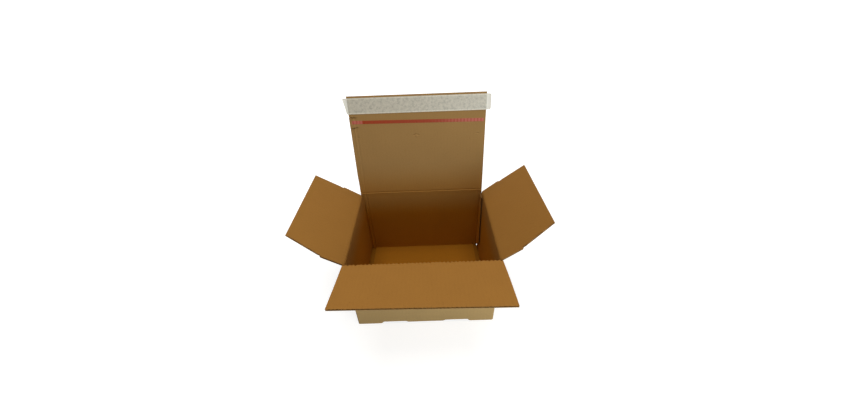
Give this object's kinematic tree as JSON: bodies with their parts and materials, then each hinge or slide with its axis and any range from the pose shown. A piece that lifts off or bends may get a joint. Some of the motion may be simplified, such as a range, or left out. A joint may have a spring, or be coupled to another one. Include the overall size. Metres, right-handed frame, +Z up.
{
  "type": "auto-bottom shipping box",
  "caption": "Open corrugated shipping box with a crash-lock bottom, hinged top flaps, a red tear strip and a peel-and-seal closure.",
  "frame": {"origin": "middle of the box's walls, on the flat surface that it stands on", "axes": "+X along the long walls, from the wall without the glue tab to the wall with it; +Y from the front wall to the back wall that carries the closure flap; +Z up"},
  "size_m": [0.424, 0.3308, 0.3634],
  "materials": {
    "board": "matt brown kraft liner",
    "glue": "tacky clear glue",
    "liner_paper": "siliconised pale paper, mottled by the glue under it",
    "red_tape": "thin red film tape"
  },
  "bodies": {
    "box": {"box_body": "board"},
    "front": {"front_flap": "board"},
    "left_dust": {"left_dust_flap": "board"},
    "right_dust": {"right_dust_flap": "board"},
    "closure": {"closure_flap": "board", "adhesive_strip": "glue", "release_liner": "liner_paper", "tear_strip": "red_tape"}
  },
  "joints": [
    {"name": "closure_fold", "type": "hinge", "parent": "box", "child": "closure", "pos_m": [0, 0.103, 0.1669], "axis": [-1, 0, 0], "range_deg": [-98, 137], "deforming": ["release_liner"]},
    {"name": "front_fold", "type": "hinge", "parent": "box", "child": "front", "pos_m": [0, -0.103, 0.1633], "axis": [1, 0, 0], "range_deg": [-169, 96]},
    {"name": "left_dust_fold", "type": "hinge", "parent": "box", "child": "left_dust", "pos_m": [-0.1305, 0, 0.16], "axis": [0, -1, 0], "range_deg": [-146, 119]},
    {"name": "right_dust_fold", "type": "hinge", "parent": "box", "child": "right_dust", "pos_m": [0.1305, 0, 0.16], "axis": [0, 1, 0], "range_deg": [-141, 124]}
  ]
}
